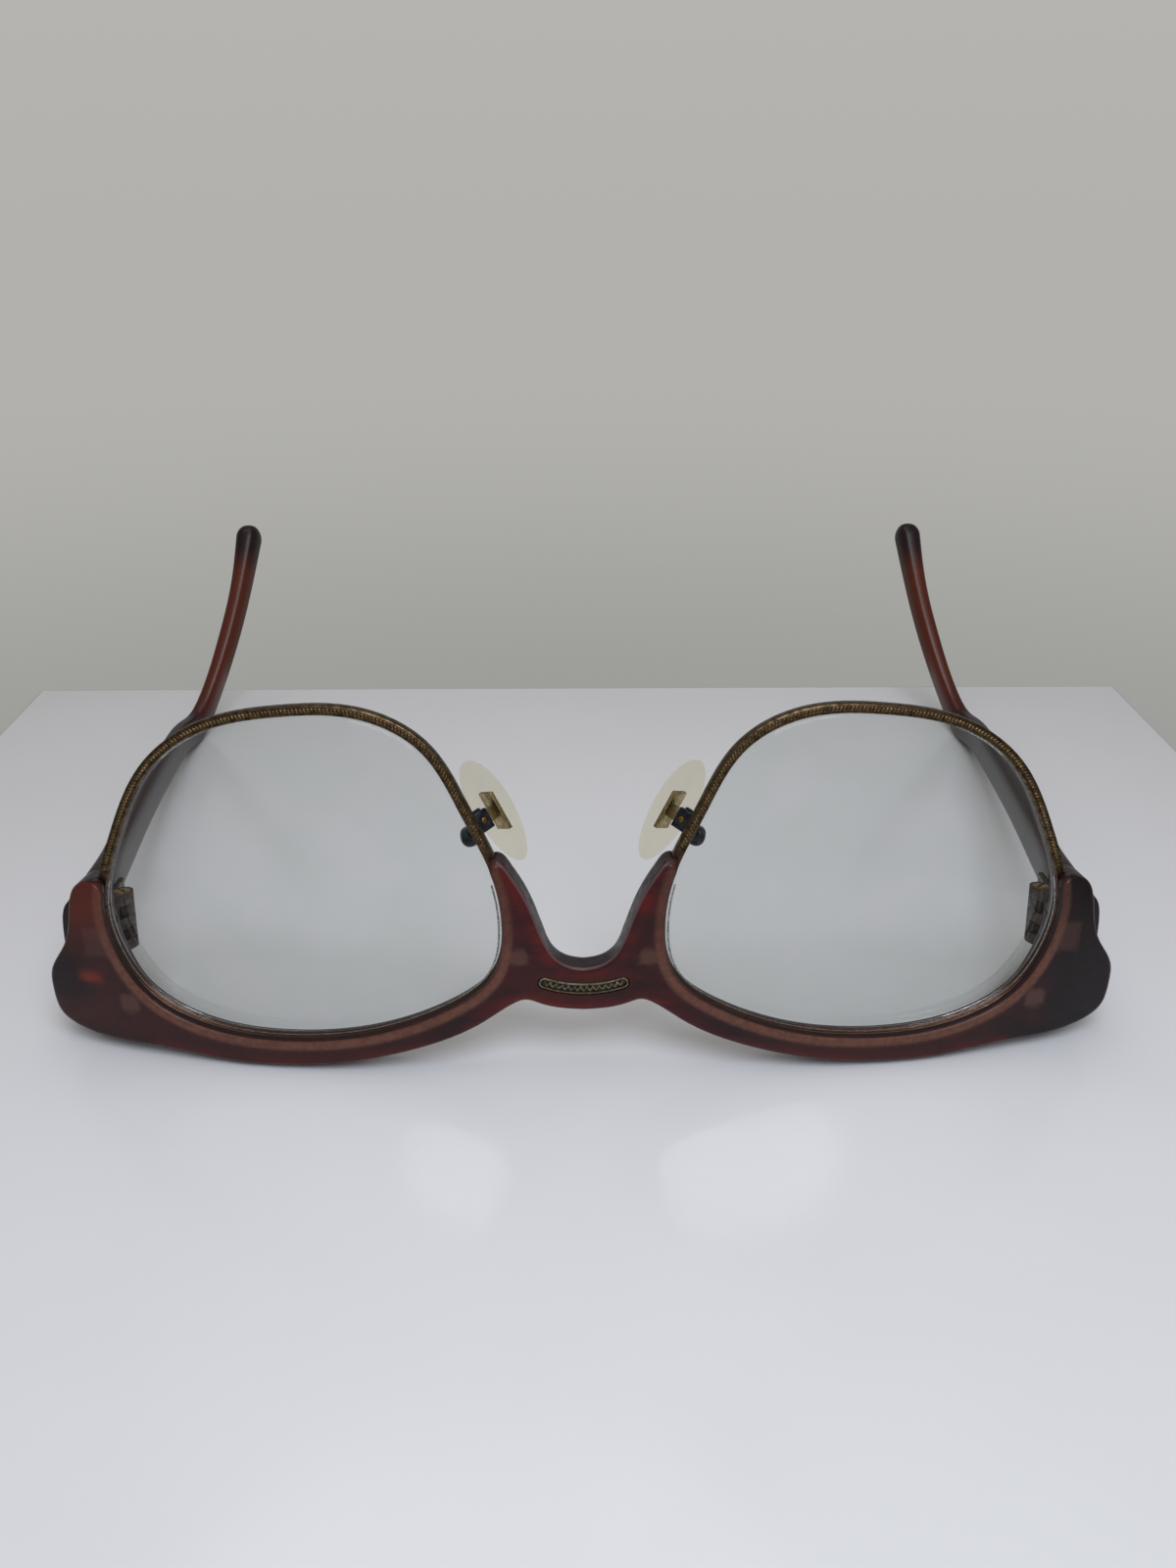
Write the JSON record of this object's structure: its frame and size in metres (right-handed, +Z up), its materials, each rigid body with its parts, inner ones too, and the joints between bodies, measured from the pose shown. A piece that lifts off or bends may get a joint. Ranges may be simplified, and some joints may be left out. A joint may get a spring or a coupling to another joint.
{
  "type": "half rim eyeglasses",
  "caption": "Half rim eyeglasses with a plastic brow, metal eyewires, clear lenses, adjustable nose pads and folding temples, lying upside down and open.",
  "frame": {"origin": "centre of the bounding box in X and Y, on the surface that the glasses rest on", "axes": "+X along the front from one endpiece to the other, +Y from the front to the ear tips, +Z up; the glasses are upside down, so the brow is at the bottom"},
  "size_m": [0.1548, 0.1312, 0.0466],
  "materials": {
    "brow_plastic": "satin dark oxblood acetate, a little translucent",
    "temple_plastic": "satin red-brown acetate, orange-brown at the ear tips",
    "antique_metal": "antiqued bronze plating with a fine engraved pattern",
    "dark_metal": "dark gunmetal plating",
    "hinge_steel": "satin nickel silver",
    "screw_gold": "polished gold plating",
    "lens_clear": "clear, polished",
    "pad_clear": "clear soft plastic, slightly yellowed"
  },
  "bodies": {
    "front": {"brow_front": "brow_plastic", "bridge_inlay": "antique_metal", "eyewire_left": "antique_metal", "eyewire_right": "antique_metal", "lens_left": "lens_clear", "lens_right": "lens_clear", "rim_lock_upper_left": "antique_metal", "rim_lock_upper_right": "antique_metal", "rim_lock_lower_left": "antique_metal", "rim_lock_lower_right": "antique_metal", "rim_lock_screw_left": "screw_gold", "rim_lock_screw_right": "screw_gold", "nasal_lug_left": "antique_metal", "nasal_lug_right": "antique_metal", "temporal_lug_left": "antique_metal", "temporal_lug_right": "antique_metal", "nasal_screw_left": "screw_gold", "nasal_screw_right": "screw_gold", "temporal_screw_left": "screw_gold", "temporal_screw_right": "screw_gold", "front_hinge_left": "hinge_steel", "front_hinge_right": "hinge_steel", "front_rivet_low_left": "hinge_steel", "front_rivet_low_right": "hinge_steel", "front_rivet_high_left": "hinge_steel", "front_rivet_high_right": "hinge_steel", "hinge_screw_left": "screw_gold", "hinge_screw_right": "screw_gold", "pad_arm_left": "dark_metal", "pad_arm_right": "dark_metal", "pad_box_left": "dark_metal", "pad_box_right": "dark_metal", "pad_screw_left": "screw_gold", "pad_screw_right": "screw_gold"},
    "left_temple": {"temple_left": "temple_plastic", "temple_core_left": "dark_metal", "temple_hinge_left": "hinge_steel", "temple_rivet_front_left": "hinge_steel", "temple_rivet_rear_left": "hinge_steel"},
    "right_temple": {"temple_right": "temple_plastic", "temple_core_right": "dark_metal", "temple_hinge_right": "hinge_steel", "temple_rivet_front_right": "hinge_steel", "temple_rivet_rear_right": "hinge_steel"},
    "left_pad": {"nose_pad_left": "pad_clear", "pad_core_left": "antique_metal"},
    "right_pad": {"nose_pad_right": "pad_clear", "pad_core_right": "antique_metal"}
  },
  "joints": [
    {"name": "left_temple_fold", "type": "hinge", "parent": "front", "child": "left_temple", "pos_m": [-0.0604, -0.05139, 0.0144], "axis": [0, -0.1908, -0.9816], "range_deg": [0, 76]},
    {"name": "right_temple_fold", "type": "hinge", "parent": "front", "child": "right_temple", "pos_m": [0.0604, -0.05139, 0.0144], "axis": [0, 0.1908, 0.9816], "range_deg": [0, 92]},
    {"name": "left_pad_rock", "type": "hinge", "parent": "front", "child": "left_pad", "pos_m": [-0.0127, -0.05396, 0.03022], "axis": [-0.5116, 0.7539, -0.4121], "range_deg": [-8, 8]},
    {"name": "right_pad_rock", "type": "hinge", "parent": "front", "child": "right_pad", "pos_m": [0.0127, -0.05396, 0.03022], "axis": [0.5116, 0.7539, -0.4121], "range_deg": [-8, 8]}
  ]
}
